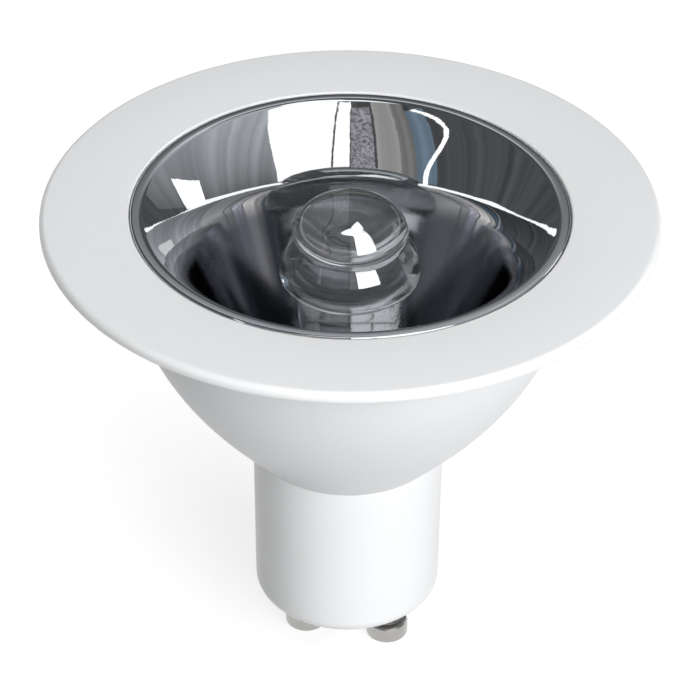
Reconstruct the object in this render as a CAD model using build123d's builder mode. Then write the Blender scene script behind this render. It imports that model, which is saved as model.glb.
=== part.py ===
"""Reflector lamp, 70 mm across, with a two-pin twist-lock cap and a built-in driver.

z = 0 is the flat end face of the cap, where it seats in a lampholder. +Z is the lamp's axis and the way
the light leaves, and the two pins stand on the X axis and point down. All sizes are in millimetres.
"""
import os
from math import cos, radians, sin, sqrt, tan

from build123d import *

os.makedirs("parts", exist_ok=True)

# Heights along the axis
front_height = 53.3
cap_height = 21.2

# Clearances
slide_gap = 0.1
bore_gap = 0.05
edge_gap = 0.25

# Front ring
ring_dia = 70.0
ring_thickness = 1.6
ring_edge_round = 0.7
ring_opening_dia = 49.9
ring_opening_round = 0.25
hook_count = 6
hook_angle = 24.0
hook_length = 2.5
hook_barb = 0.3
hook_barb_height = 0.8

# Bowl housing
bowl_top_dia = 52.14
bowl_wall = 1.3
bowl_start_angle = 47.4
bowl_start_handle = 10.5
bowl_end_handle = 14.5
floor_thickness = 1.2
spigot_length = 4.0
spigot_wall = 1.2
lug_count = 4
lug_angle = 36.0
lug_rise = 0.3
lug_length = 1.4
boss_dia = 3.6
boss_length = 2.6

# Reflector
mouth_dia = 47.2
mouth_lean = 51.7
mouth_handle = 5.5
throat_dia = 34.8
throat_depth = 7.6
throat_lean = 20.8
throat_handle = 1.8
mirror_base_dia = 21.6
mirror_base_lean = 17.5
mirror_handle = 6.0
reflector_wall = 0.7
lip_thickness = 1.05
lip_round = 0.35

# Lens: depths are below the lamp's front
bubble_dia = 13.2
bubble_rise = 4.4
bubble_depth = 3.2
crease_dia = 12.6
crease_depth = 4.25
collar_dia = 16.1
collar_depth = 8.2
collar_base_dia = 14.4
collar_base_depth = 9.2
stem_top_dia = 12.6
stem_top_depth = 10.2
stem_foot_dia = 10.4
foot_thickness = 1.2
lens_gap = 0.35
well_dia = 7.8
well_height = 2.6

# Heat cup, thermal pad, led board and light source
heat_cup_wall = 1.0
heat_cup_height = 21.5
pad_thickness = 0.3
board_thickness = 1.5
package_size = 5.0
package_thickness = 0.8
package_mark = 0.6
dome_dia = 4.4
dome_height = 1.1

# Screws of the led board
screw_spacing = 14.8
screw_dia = 2.0
screw_length = 6.0
screw_head_dia = 3.5
screw_head_height = 1.0
screw_head_round = 0.3
screw_cross_width = 0.45
screw_cross_length = 1.9
screw_cross_depth = 0.5

# Cap
cap_bottom_dia = 21.8
cap_top_dia = 22.3
cap_bore_dia = 19.2
cap_floor = 2.0
cap_edge_round = 1.8
rib_reach = 2.5
rib_width = 3.2
rib_gap = 1.2
slot_floor = 3.6

# Contact pins
pin_spacing = 10.0
pin_length = 7.5
pin_head_dia = 5.0
pin_head_height = 2.3
pin_head_round = 0.5
pin_neck_dia = 3.1
pin_shank_dia = 2.6
pin_stake_dia = 4.0
pin_stake_height = 1.2
pin_socket_depth = 0.8

# Driver board
driver_width = 15.2
driver_height = 15.0
driver_thickness = 1.0
driver_offset = 2.5

# Transformer
core_size = 8.0
core_depth = 4.0
core_leg = 1.3
core_centre_leg = 2.4
bobbin_wall = 0.4
bobbin_depth = 7.2
winding_inset = 0.2
transformer_x = 3.2
transformer_bottom = 8.2

# Capacitors
input_can_dia = 6.2
input_can_height = 8.0
input_can_x = -4.4
input_can_bottom = 8.6
output_can_dia = 5.0
output_can_height = 7.5
output_can_x = 0.0
output_can_bottom = 7.0
can_round = 0.4
can_groove = 0.25
can_groove_height = 1.2
can_lead_dia = 0.6
can_lead_spacing = 2.5
can_lead_drop = 1.2
lead_bend = 0.5

# Fuse resistor
fuse_dia = 2.4
fuse_waist_dia = 1.9
fuse_length = 6.0
fuse_end_length = 1.2
fuse_round = 0.25
fuse_height = 5.6
fuse_lead_dia = 0.6
fuse_lead_spread = 7.8

# Chips and small parts on the back of the driver board
rectifier_width = 3.8
rectifier_height = 4.6
rectifier_x = -4.5
rectifier_z = 11.8
rectifier_leg_pitch = 2.6
chip_width = 3.6
chip_height = 5.0
chip_x = 4.8
chip_z = 11.5
chip_leg_pitch = 1.27
chip_thickness = 1.4
leg_width = 0.4
leg_reach = 0.5
leg_thickness = 0.25
small_part_count = 7
small_part_pitch = 1.8
small_part_width = 0.9
small_part_length = 1.6
small_part_thickness = 0.6
small_part_z = 16.7

# Wires
mains_wire_dia = 1.0
mains_wire_z = 5.2
mains_wire_bend = 1.0
led_wire_dia = 0.9
led_wire_x = 6.2
led_wire_start = 17.0
led_wire_bend = 0.5
led_wire_reach = 1.3

# Heights of the stack, from the bowl's floor up
ring_underside = front_height - ring_thickness
lip_underside = front_height - lip_thickness
floor_top = cap_height + floor_thickness
heat_cup_floor = floor_top + heat_cup_wall
pad_top = heat_cup_floor + pad_thickness
board_top = pad_top + board_thickness
foot_top = board_top + foot_thickness
mirror_floor = foot_top + reflector_wall


def bowl_curve(inset):
    """Four control points of the bowl's side line, moved inwards: it slants off the cap and ends upright."""
    angle = radians(bowl_start_angle)
    shrink = 1 - inset / (ring_underside - cap_height)
    start_r = cap_top_dia / 2 - inset * sin(angle)
    start_z = cap_height + inset * cos(angle)
    end_r = bowl_top_dia / 2 - inset
    start_handle = bowl_start_handle * shrink
    return (
        (start_r, start_z),
        (start_r + start_handle * cos(angle), start_z + start_handle * sin(angle)),
        (end_r, ring_underside - bowl_end_handle * shrink),
        (end_r, ring_underside),
    )


def bowl_radius(height, inset):
    """Radius of that side line at a height, found by halving."""
    points = bowl_curve(inset)
    low, high = 0.0, 1.0
    for _ in range(40):
        t = (low + high) / 2
        weights = ((1 - t) ** 3, 3 * t * (1 - t) ** 2, 3 * t * t * (1 - t), t**3)
        radius = sum(weight * point[0] for weight, point in zip(weights, points))
        reached = sum(weight * point[1] for weight, point in zip(weights, points))
        low, high = (t, high) if reached < height else (low, t)
    return radius


def lean_in(start, lean, reach):
    """The point reached from start by going down a line that leans in towards the axis."""
    return (start[0] - reach * sin(radians(lean)), start[1] - reach * cos(radians(lean)))


def mirror_curves(top, bottom, outwards):
    """Control points of the mirror's side line, moved outwards: its flared mouth, then the bowl below it."""
    mouth = (mouth_dia / 2, top)
    throat = (throat_dia / 2 + outwards, front_height - throat_depth)
    base_shift = (mirror_floor - bottom) * tan(radians(mirror_base_lean))
    base = (mirror_base_dia / 2 - base_shift + outwards, bottom)
    flare_middle = (lean_in(mouth, mouth_lean, mouth_handle), lean_in(throat, throat_lean, -throat_handle))
    bowl_middle = (lean_in(throat, throat_lean, mirror_handle), lean_in(base, mirror_base_lean, -mirror_handle))
    return (mouth, *flare_middle, throat), (throat, *bowl_middle, base)


def dome_curve(centre_z, dome_r, rise):
    """Four control points of a quarter of an ellipse, from its widest point up to the axis."""
    pull = 4 / 3 * (sqrt(2) - 1)
    return (
        (dome_r, centre_z),
        (dome_r, centre_z + pull * rise),
        (pull * dome_r, centre_z + rise),
        (0, centre_z + rise),
    )


def cut_gaps(radius, count, kept_angle):
    """Cut a ring in the current sketch into equal arcs that each keep an angle."""
    width = 2 * radius * sin(radians(180 / count - kept_angle / 2))
    with PolarLocations(radius, count, start_angle=180 / count):
        Rectangle(radius, width, mode=Mode.SUBTRACT)


def wire(points, dia, bend):
    """Add a round wire along straight runs and bends to the current part."""
    with BuildLine() as path:
        FilletPolyline(*points, radius=bend)
    with BuildSketch(Plane(path.line @ 0, z_dir=path.line % 0)) as section:
        Circle(dia / 2)
    sweep(sections=section.sketch, path=path.line)


def upright_plane(centre_x, centre_y):
    """The plane of a turned piece's profile: its x is the radius, and its y is the height."""
    return Plane(origin=(centre_x, centre_y, 0), x_dir=(1, 0, 0), z_dir=(0, -1, 0))


def finish(piece, name):
    """Name a finished piece and write it."""
    piece.label = name
    export_step(piece, f"parts/{name}.step")


# Places shared by several pieces
driver_front = driver_offset - driver_thickness / 2
driver_back = driver_offset + driver_thickness / 2
driver_back_plane = Plane(origin=(0, driver_back, 0), x_dir=(-1, 0, 0), z_dir=(0, 1, 0))
spigot_r = cap_bore_dia / 2 - slide_gap
lug_r = spigot_r + lug_rise
lug_bottom = cap_height - (spigot_length + lug_length) / 2
hook_bottom = ring_underside - hook_length
hook_r = bowl_radius(hook_bottom, bowl_wall) - slide_gap
barb_r = hook_r + hook_barb
ledge_r = mouth_dia / 2 + slide_gap
lip_r = ring_opening_dia / 2 - slide_gap
board_r = bowl_radius(pad_top, bowl_wall + slide_gap + heat_cup_wall) - edge_gap
pad_r = bowl_radius(heat_cup_floor, bowl_wall + slide_gap + heat_cup_wall) - edge_gap
foot_r = board_r - edge_gap
led_wire_y = driver_front - led_wire_dia / 2 - bore_gap
wire_hole_r = led_wire_dia / 2 + slide_gap
screw_hole_r = screw_dia / 2 + bore_gap
screw_places = ((0, -screw_spacing / 2), (0, screw_spacing / 2))
led_wire_places = ((-led_wire_x, led_wire_y), (led_wire_x, led_wire_y))
pin_places = ((-pin_spacing / 2, 0), (pin_spacing / 2, 0))
can_lead_offsets = (-can_lead_spacing / 2, can_lead_spacing / 2)


# Cap shell: a moulded, slightly tapered cup that holds the pins in its floor and the driver in two slots
with BuildPart() as cap_shell:
    with BuildSketch(Plane.XZ) as cap_profile:
        with BuildLine():
            Polyline(
                (0, 0),
                (cap_bottom_dia / 2, 0),
                (cap_top_dia / 2, cap_height),
                (cap_bore_dia / 2, cap_height),
                (cap_bore_dia / 2, cap_floor),
                (0, cap_floor),
                close=True,
            )
        make_face()
        fillet(cap_profile.vertices().group_by(Axis.Y)[0].sort_by(Axis.X)[-1], cap_edge_round)
    revolve(axis=Axis.Z)
    with BuildSketch(Plane.XY.offset(cap_floor)):
        Circle(cap_bore_dia / 2 + bore_gap)
        Rectangle(cap_bore_dia - 2 * rib_reach, cap_bore_dia, mode=Mode.SUBTRACT)
        with Locations((0, driver_offset)):
            Rectangle(cap_bottom_dia, rib_width, mode=Mode.INTERSECT)
    extrude(amount=cap_height - spigot_length - rib_gap - cap_floor)
    with BuildSketch(Plane.XY.offset(slot_floor)):
        with Locations((0, driver_offset)):
            Rectangle(driver_width + 2 * slide_gap, driver_thickness + 2 * slide_gap)
    extrude(amount=cap_height, mode=Mode.SUBTRACT)
    with BuildSketch():
        with Locations(*pin_places):
            Circle(pin_shank_dia / 2 + bore_gap)
    extrude(amount=cap_floor, mode=Mode.SUBTRACT)
    with BuildSketch(Plane.XY.offset(lug_bottom - slide_gap)):
        Circle(lug_r + slide_gap)
    extrude(amount=lug_length + 2 * slide_gap, mode=Mode.SUBTRACT)
finish(cap_shell.part, "cap_shell")


# Contact pins: turned and stepped, with their upper ends staked over the cap's floor
def contact_pin(centre_x):
    """One pin, whose shank goes through the cap's floor and has a socket for the mains wire."""
    with BuildPart() as pin:
        with BuildSketch(upright_plane(centre_x, 0)) as profile:
            with BuildLine():
                Polyline(
                    (0, -pin_length),
                    (pin_head_dia / 2, -pin_length),
                    (pin_head_dia / 2, pin_head_height - pin_length),
                    (pin_neck_dia / 2, pin_head_height - pin_length),
                    (pin_neck_dia / 2, 0),
                    (pin_shank_dia / 2, 0),
                    (pin_shank_dia / 2, cap_floor),
                    (pin_stake_dia / 2, cap_floor),
                    (pin_stake_dia / 2, cap_floor + pin_stake_height),
                    (0, cap_floor + pin_stake_height),
                    close=True,
                )
            make_face()
            fillet(profile.vertices().group_by(Axis.X)[-1], pin_head_round)
        revolve(axis=Axis((centre_x, 0, 0), (0, 0, 1)))
        with BuildSketch(Plane.XY.offset(cap_floor + pin_stake_height)):
            with Locations((centre_x, 0)):
                Circle(mains_wire_dia / 2 + bore_gap)
        extrude(amount=-pin_socket_depth, mode=Mode.SUBTRACT)
    return pin.part


finish(contact_pin(pin_places[0][0]), "contact_pin_left")
finish(contact_pin(pin_places[1][0]), "contact_pin_right")


# Housing: a moulded bowl with a flat floor, screw bosses, and a spigot that snaps into the cap
with BuildPart() as housing:
    with BuildSketch(Plane.XZ):
        with BuildLine():
            outside = Bezier(*bowl_curve(0))
            inside = Bezier(*bowl_curve(bowl_wall))
            Line(outside @ 1, inside @ 1)
            Polyline(inside @ 0, (0, (inside @ 0).Y), (0, cap_height), outside @ 0)
        make_face()
    revolve(axis=Axis.Z)
    with BuildSketch(Plane.XY.offset(cap_height)):
        Circle(cap_top_dia / 2)
    extrude(amount=floor_thickness)
    with BuildSketch(Plane.XY.offset(cap_height)):
        Circle(spigot_r)
        Circle(spigot_r - spigot_wall, mode=Mode.SUBTRACT)
    extrude(amount=-spigot_length)
    with BuildSketch(Plane.XY.offset(lug_bottom)):
        Circle(lug_r)
        Circle(spigot_r - spigot_wall / 2, mode=Mode.SUBTRACT)
        cut_gaps(lug_r, lug_count, lug_angle)
    extrude(amount=lug_length)
    with BuildSketch(Plane.XY.offset(cap_height)):
        with Locations(*screw_places):
            Circle(boss_dia / 2)
    extrude(amount=-boss_length)
    with BuildSketch(Plane.XY.offset(floor_top)):
        with Locations(*screw_places):
            Circle(screw_hole_r)
    extrude(amount=pad_thickness + board_thickness + heat_cup_wall - screw_length - slide_gap,
            mode=Mode.SUBTRACT)
    with BuildSketch(Plane.XY.offset(floor_top)):
        with Locations(*led_wire_places):
            Circle(wire_hole_r)
    extrude(amount=-floor_thickness, mode=Mode.SUBTRACT)
    with BuildSketch(Plane.XY.offset(hook_bottom - slide_gap)):
        Circle(barb_r + slide_gap)
    extrude(amount=hook_barb_height + 2 * slide_gap, mode=Mode.SUBTRACT)
finish(housing.part, "housing")


# Front ring: a flat moulded ring with a ledge for the reflector's lip and hooks that snap into the bowl
with BuildPart() as front_ring:
    with BuildSketch(Plane.XZ) as ring_profile:
        with BuildLine():
            Polyline(
                (ledge_r, ring_underside),
                (ring_dia / 2, ring_underside),
                (ring_dia / 2, front_height),
                (ring_opening_dia / 2, front_height),
                (ring_opening_dia / 2, lip_underside),
                (ledge_r, lip_underside),
                close=True,
            )
        make_face()
        fillet(ring_profile.vertices().group_by(Axis.X)[-1], ring_edge_round)
        fillet(ring_profile.vertices().group_by(Axis.Y)[-1].sort_by(Axis.X)[0], ring_opening_round)
    revolve(axis=Axis.Z)
    with BuildSketch(Plane.XY.offset(hook_bottom)):
        Circle(hook_r)
        Circle(ledge_r, mode=Mode.SUBTRACT)
        cut_gaps(hook_r, hook_count, hook_angle)
    extrude(amount=hook_length)
    with BuildSketch(Plane.XY.offset(hook_bottom)):
        Circle(barb_r)
        Circle(ledge_r, mode=Mode.SUBTRACT)
        cut_gaps(barb_r, hook_count, hook_angle)
    extrude(amount=hook_barb_height)
finish(front_ring.part, "front_ring")


# Reflector: a thin metallised bowl with a flared mouth, a rounded lip and a floor that clamps the lens
with BuildPart() as reflector:
    with BuildSketch(Plane.XZ):
        with BuildLine():
            mirror_mouth, mirror_bowl = mirror_curves(front_height, mirror_floor, 0)
            back_mouth, back_bowl = mirror_curves(lip_underside, foot_top, reflector_wall)
            for curve in (mirror_mouth, mirror_bowl, back_mouth, back_bowl):
                Bezier(*curve)
            Polyline(mirror_mouth[0], (lip_r, front_height), (lip_r, lip_underside), back_mouth[0])
            Polyline(
                back_bowl[-1],
                (collar_dia / 2 + lens_gap, foot_top),
                (collar_dia / 2 + lens_gap, mirror_floor),
                mirror_bowl[-1],
            )
        make_face()
    revolve(axis=Axis.Z)
    fillet(reflector.faces().sort_by(Axis.Z)[-1].edges(), lip_round)
finish(reflector.part, "reflector")


# Lens: one clear moulding, a bubble on a bell collar, with a stem and a notched foot on the led board
with BuildPart() as lens:
    with BuildSketch(Plane.XZ):
        with BuildLine():
            bubble = Bezier(*dome_curve(front_height - bubble_depth, bubble_dia / 2, bubble_rise))
            crease = (crease_dia / 2, front_height - crease_depth)
            collar = (collar_dia / 2, front_height - collar_depth)
            collar_base = (collar_base_dia / 2, front_height - collar_base_depth)
            TangentArc(bubble @ 0, crease, tangent=(0, -1))
            TangentArc(collar, crease, tangent=(0, 1))
            TangentArc(collar, collar_base, tangent=(0, -1))
            well = Bezier(*dome_curve(board_top, well_dia / 2, well_height))
            Polyline(
                collar_base,
                (stem_top_dia / 2, front_height - stem_top_depth),
                (stem_foot_dia / 2, foot_top),
                (foot_r, foot_top),
                (foot_r, board_top),
                well @ 0,
            )
            Line(well @ 1, bubble @ 1)
        make_face()
    revolve(axis=Axis.Z)
    with BuildSketch(Plane.XY.offset(board_top)):
        with Locations(*screw_places):
            Circle(screw_head_dia / 2 + edge_gap)
        with Locations((0, -foot_r), (0, foot_r)):
            Rectangle(screw_head_dia + 2 * edge_gap, 2 * foot_r - screw_spacing)
        with Locations((-foot_r, led_wire_y), (foot_r, led_wire_y)):
            Rectangle(
                2 * (foot_r - led_wire_x + led_wire_reach + edge_gap),
                led_wire_dia + 2 * edge_gap,
            )
    extrude(amount=foot_thickness, mode=Mode.SUBTRACT)
finish(lens.part, "lens")


# Heat cup: pressed aluminium that lines the bowl and stands on its floor
with BuildPart() as heat_cup:
    with BuildSketch(Plane.XZ):
        with BuildLine():
            cup_outside = Bezier(*bowl_curve(bowl_wall + slide_gap))
            cup_inside = Bezier(*bowl_curve(bowl_wall + slide_gap + heat_cup_wall))
            Line(cup_outside @ 1, cup_inside @ 1)
            Polyline(
                cup_inside @ 0, (0, (cup_inside @ 0).Y), (0, (cup_outside @ 0).Y), cup_outside @ 0
            )
        make_face()
    revolve(axis=Axis.Z)
    with BuildSketch(Plane.XY.offset(floor_top)):
        Circle(bowl_radius(floor_top, bowl_wall + slide_gap) - bore_gap)
    extrude(amount=heat_cup_wall)
    split(bisect_by=Plane.XY.offset(floor_top), keep=Keep.TOP)
    split(bisect_by=Plane.XY.offset(floor_top + heat_cup_height), keep=Keep.BOTTOM)
    with BuildSketch(Plane.XY.offset(floor_top)):
        with Locations(*screw_places):
            Circle(screw_hole_r)
        with Locations(*led_wire_places):
            Circle(wire_hole_r)
    extrude(amount=heat_cup_wall, mode=Mode.SUBTRACT)
finish(heat_cup.part, "heat_cup")


# Thermal pad and led board: discs with holes for the screws and wires, the board in the cup's floor
def drilled_disc(radius, bottom, thickness):
    """A disc of the light source's stack, with the stack's four holes."""
    with BuildPart() as disc:
        with BuildSketch(Plane.XY.offset(bottom)):
            Circle(radius)
            with Locations(*screw_places):
                Circle(screw_hole_r, mode=Mode.SUBTRACT)
            with Locations(*led_wire_places):
                Circle(wire_hole_r, mode=Mode.SUBTRACT)
        extrude(amount=thickness)
    return disc.part


finish(drilled_disc(pad_r, heat_cup_floor, pad_thickness), "thermal_pad")
finish(drilled_disc(board_r, pad_top, board_thickness), "led_board")

# Led package: a square ceramic body with one corner cut off as its mark
with BuildPart() as led_package:
    with BuildSketch(Plane.XY.offset(board_top)) as package_outline:
        Rectangle(package_size, package_size)
        chamfer(package_outline.vertices().sort_by(Axis.X)[-2:].sort_by(Axis.Y)[-1], package_mark)
    extrude(amount=package_thickness)
finish(led_package.part, "led_package")

# Led dome: a low silicone cap over the light source
with BuildPart() as led_dome:
    with BuildSketch(Plane.XZ):
        with BuildLine():
            dome = Bezier(*dome_curve(board_top + package_thickness, dome_dia / 2, dome_height))
            Polyline(dome @ 1, (0, board_top + package_thickness), dome @ 0)
        make_face()
    revolve(axis=Axis.Z)
finish(led_dome.part, "led_dome")

# Board screws: two pan heads on the led board, with a cross recess
with BuildPart() as board_screws:
    with BuildSketch(Plane.XY.offset(board_top)):
        with Locations(*screw_places):
            Circle(screw_dia / 2)
    extrude(amount=-screw_length)
    with BuildSketch(Plane.XY.offset(board_top)):
        with Locations(*screw_places):
            Circle(screw_head_dia / 2)
    extrude(amount=screw_head_height)
    fillet(board_screws.edges().group_by(Axis.Z)[-1], screw_head_round)
    with BuildSketch(Plane.XY.offset(board_top + screw_head_height)):
        with Locations(*screw_places):
            Rectangle(screw_cross_length, screw_cross_width)
            Rectangle(screw_cross_width, screw_cross_length)
    extrude(amount=-screw_cross_depth, mode=Mode.SUBTRACT)
finish(board_screws.part, "board_screws")


# Driver board: stands on edge in the cap's slots, drilled for the leads of what it carries
can_lead_holes = [
    (x + offset, bottom - can_lead_drop)
    for x, bottom in ((input_can_x, input_can_bottom), (output_can_x, output_can_bottom))
    for offset in can_lead_offsets
]
fuse_lead_holes = [(-fuse_lead_spread / 2, fuse_height), (fuse_lead_spread / 2, fuse_height)]
mains_lead_holes = [(x, mains_wire_z) for x, _ in pin_places]

with BuildPart() as driver_board:
    with BuildSketch(Plane.XY.offset(slot_floor)):
        with Locations((0, driver_offset)):
            Rectangle(driver_width, driver_thickness)
    extrude(amount=driver_height)
    with BuildSketch(Plane.XZ.offset(-driver_back)):
        with Locations(*can_lead_holes):
            Circle(can_lead_dia / 2 + bore_gap)
        with Locations(*fuse_lead_holes):
            Circle(fuse_lead_dia / 2 + bore_gap)
        with Locations(*mains_lead_holes):
            Circle(mains_wire_dia / 2 + bore_gap)
    extrude(amount=driver_thickness, mode=Mode.SUBTRACT)
finish(driver_board.part, "driver_board")


# Transformer: a ferrite frame with a centre leg, a bobbin on that leg and the winding on the bobbin
transformer_y = driver_front - bobbin_depth / 2
transformer_z = transformer_bottom + core_size / 2
window_width = (core_size - core_centre_leg) / 2 - core_leg
window_height = core_size - 2 * core_leg
window_bottom = transformer_bottom + core_leg
tube_width = core_centre_leg + 2 * bore_gap + 2 * bobbin_wall
tube_depth = core_depth + 2 * bore_gap + 2 * bobbin_wall
flange_width = core_centre_leg + 2 * window_width - 2 * bore_gap
transformer_centre = Location((transformer_x, transformer_y))

with BuildPart() as transformer_core:
    with BuildSketch(Plane.XZ.offset(-transformer_y)):
        with Locations((transformer_x, transformer_z)):
            Rectangle(core_size, core_size)
        with Locations((transformer_x, transformer_z)):
            with GridLocations(core_centre_leg + window_width, 0, 2, 1):
                Rectangle(window_width, window_height, mode=Mode.SUBTRACT)
    extrude(amount=core_depth / 2, both=True)
finish(transformer_core.part, "transformer_core")

with BuildPart() as transformer_bobbin:
    with BuildSketch(Plane.XY.offset(window_bottom + bore_gap)):
        with Locations(transformer_centre):
            Rectangle(tube_width, tube_depth)
    extrude(amount=window_height - 2 * bore_gap)
    for flange_bottom in (window_bottom + bore_gap, window_bottom + window_height - bobbin_wall - bore_gap):
        with BuildSketch(Plane.XY.offset(flange_bottom)):
            with Locations(transformer_centre):
                Rectangle(flange_width, bobbin_depth)
        extrude(amount=bobbin_wall)
    with BuildSketch(Plane.XY.offset(window_bottom)):
        with Locations(transformer_centre):
            Rectangle(core_centre_leg + 2 * bore_gap, core_depth + 2 * bore_gap)
    extrude(amount=window_height, mode=Mode.SUBTRACT)
finish(transformer_bobbin.part, "transformer_bobbin")

with BuildPart() as transformer_winding:
    with BuildSketch(Plane.XY.offset(window_bottom + bore_gap + bobbin_wall)):
        with Locations(transformer_centre):
            RectangleRounded(
                flange_width - 2 * winding_inset, bobbin_depth - 2 * winding_inset, radius=bobbin_wall
            )
            Rectangle(tube_width, tube_depth, mode=Mode.SUBTRACT)
    extrude(amount=window_height - 2 * bore_gap - 2 * bobbin_wall)
finish(transformer_winding.part, "transformer_winding")


# Capacitors: round cans that stand beside the driver board, each with two leads bent into it
def can_capacitor(dia, height, centre_x, centre_y, bottom, lead_end):
    """One can with its crimp groove, and its leads bent towards the board."""
    with BuildPart() as can:
        with BuildSketch(upright_plane(centre_x, centre_y)) as profile:
            with Locations((dia / 4, bottom + height / 2)):
                Rectangle(dia / 2, height)
            fillet(profile.vertices().group_by(Axis.X)[-1], can_round)
            with Locations((dia / 2, bottom + can_groove_height)):
                Circle(can_groove, mode=Mode.SUBTRACT)
        revolve(axis=Axis((centre_x, centre_y, 0), (0, 0, 1)))
        for offset in can_lead_offsets:
            lead_x = centre_x + offset
            wire(
                (
                    (lead_x, centre_y, bottom),
                    (lead_x, centre_y, bottom - can_lead_drop),
                    (lead_x, lead_end, bottom - can_lead_drop),
                ),
                can_lead_dia,
                lead_bend,
            )
    return can.part


input_can_y = driver_front - slide_gap - input_can_dia / 2
output_can_y = driver_back + slide_gap + output_can_dia / 2
finish(
    can_capacitor(
        input_can_dia, input_can_height, input_can_x, input_can_y, input_can_bottom, driver_back
    ),
    "input_capacitor",
)
finish(
    can_capacitor(
        output_can_dia, output_can_height, output_can_x, output_can_y, output_can_bottom, driver_front
    ),
    "output_capacitor",
)


# Fuse resistor: a waisted body between two end caps, on leads bent into the driver board
fuse_y = driver_front - slide_gap - fuse_dia / 2
with BuildPart() as fuse_resistor:
    with BuildSketch(Plane.YZ.offset(-fuse_length / 2)):
        with Locations((fuse_y, fuse_height)):
            Circle(fuse_waist_dia / 2)
    extrude(amount=fuse_length)
    for cap_start in (-fuse_length / 2, fuse_length / 2 - fuse_end_length):
        with BuildSketch(Plane.YZ.offset(cap_start)):
            with Locations((fuse_y, fuse_height)):
                Circle(fuse_dia / 2)
        extrude(amount=fuse_end_length)
    fillet(fuse_resistor.edges().group_by(Axis.X)[0], fuse_round)
    fillet(fuse_resistor.edges().group_by(Axis.X)[-1], fuse_round)
    for side in (-1, 1):
        wire(
            (
                (side * fuse_length / 2, fuse_y, fuse_height),
                (side * fuse_lead_spread / 2, fuse_y, fuse_height),
                (side * fuse_lead_spread / 2, driver_back, fuse_height),
            ),
            fuse_lead_dia,
            lead_bend,
        )
finish(fuse_resistor.part, "fuse_resistor")


# Chips: flat bodies with legs on two sides, on the back of the driver board
def chip(width, height, centre_x, centre_z, legs, pitch):
    """One chip with its legs on the board."""
    with BuildPart() as body:
        with BuildSketch(driver_back_plane):
            with Locations((-centre_x, centre_z)):
                Rectangle(width, height)
        extrude(amount=chip_thickness)
        with BuildSketch(driver_back_plane):
            with Locations((-centre_x, centre_z)):
                with GridLocations(0, pitch, 1, legs):
                    Rectangle(width + 2 * leg_reach, leg_width)
        extrude(amount=leg_thickness)
    return body.part


finish(
    chip(rectifier_width, rectifier_height, rectifier_x, rectifier_z, 2, rectifier_leg_pitch),
    "bridge_rectifier",
)
finish(chip(chip_width, chip_height, chip_x, chip_z, 4, chip_leg_pitch), "control_chip")

# Chip parts: a row of small resistors and capacitors near the board's upper edge
with BuildPart() as chip_parts:
    with BuildSketch(driver_back_plane):
        with Locations((0, small_part_z)):
            with GridLocations(small_part_pitch, 0, small_part_count, 1):
                Rectangle(small_part_width, small_part_length)
    extrude(amount=small_part_thickness)
finish(chip_parts.part, "chip_parts")


# Mains leads: from the sockets of the pins up and back into the driver board
wire_seat = cap_floor + pin_stake_height - pin_socket_depth
for name, (pin_x, pin_y) in zip(("mains_lead_left", "mains_lead_right"), pin_places):
    with BuildPart() as mains_lead:
        wire(
            ((pin_x, pin_y, wire_seat), (pin_x, pin_y, mains_wire_z), (pin_x, driver_back, mains_wire_z)),
            mains_wire_dia,
            mains_wire_bend,
        )
    finish(mains_lead.part, name)

# Led leads: up the front of the driver board, through the floor and the led board, and in over its pads
led_wire_z = board_top + led_wire_dia / 2
for name, (wire_x, wire_y), side in zip(
    ("led_lead_negative", "led_lead_positive"), led_wire_places, (-1, 1)
):
    with BuildPart() as led_lead:
        wire(
            (
                (wire_x, wire_y, led_wire_start),
                (wire_x, wire_y, led_wire_z),
                (wire_x - side * led_wire_reach, wire_y, led_wire_z),
            ),
            led_wire_dia,
            led_wire_bend,
        )
    finish(led_lead.part, name)
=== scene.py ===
from math import ceil, cos, pi, radians, sin, tau

import bpy
from mathutils import Matrix, Vector


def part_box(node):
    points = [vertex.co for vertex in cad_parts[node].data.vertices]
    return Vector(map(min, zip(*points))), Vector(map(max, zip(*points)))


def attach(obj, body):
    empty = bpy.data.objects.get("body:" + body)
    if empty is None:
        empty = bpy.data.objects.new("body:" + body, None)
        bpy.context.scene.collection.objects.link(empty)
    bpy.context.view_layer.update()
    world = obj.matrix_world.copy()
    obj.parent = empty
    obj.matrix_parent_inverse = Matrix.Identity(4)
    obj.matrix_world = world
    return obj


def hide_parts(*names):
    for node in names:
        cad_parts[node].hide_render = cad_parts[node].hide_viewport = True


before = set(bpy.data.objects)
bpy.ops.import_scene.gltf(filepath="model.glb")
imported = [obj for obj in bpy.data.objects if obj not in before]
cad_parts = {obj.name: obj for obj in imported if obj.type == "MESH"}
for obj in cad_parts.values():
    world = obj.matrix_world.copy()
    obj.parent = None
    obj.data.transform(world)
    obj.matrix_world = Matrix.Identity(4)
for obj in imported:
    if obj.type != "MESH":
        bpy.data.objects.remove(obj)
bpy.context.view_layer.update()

# Cap: a thin white cup moulded in one piece, slightly tapered, with a flat end face and a rounded lower edge.
# It's glossy flame-resistant plastic, and the two pins are staked through its floor.
MM = 0.001
FINE_STEPS = 10
TURN_STEPS = 288
cap_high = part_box("cap_shell")[1]
cap_height = cap_high.z / MM
cap_top_r = cap_high.x / MM
cap_taper = 0.25
cap_bottom_r = cap_top_r - cap_taper
cap_bore_r = 9.6
cap_floor = 2.0
cap_edge_round = 1.8
cap_brim_round = 0.15
cap_white = (0.80, 0.81, 0.82, 1)


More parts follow.
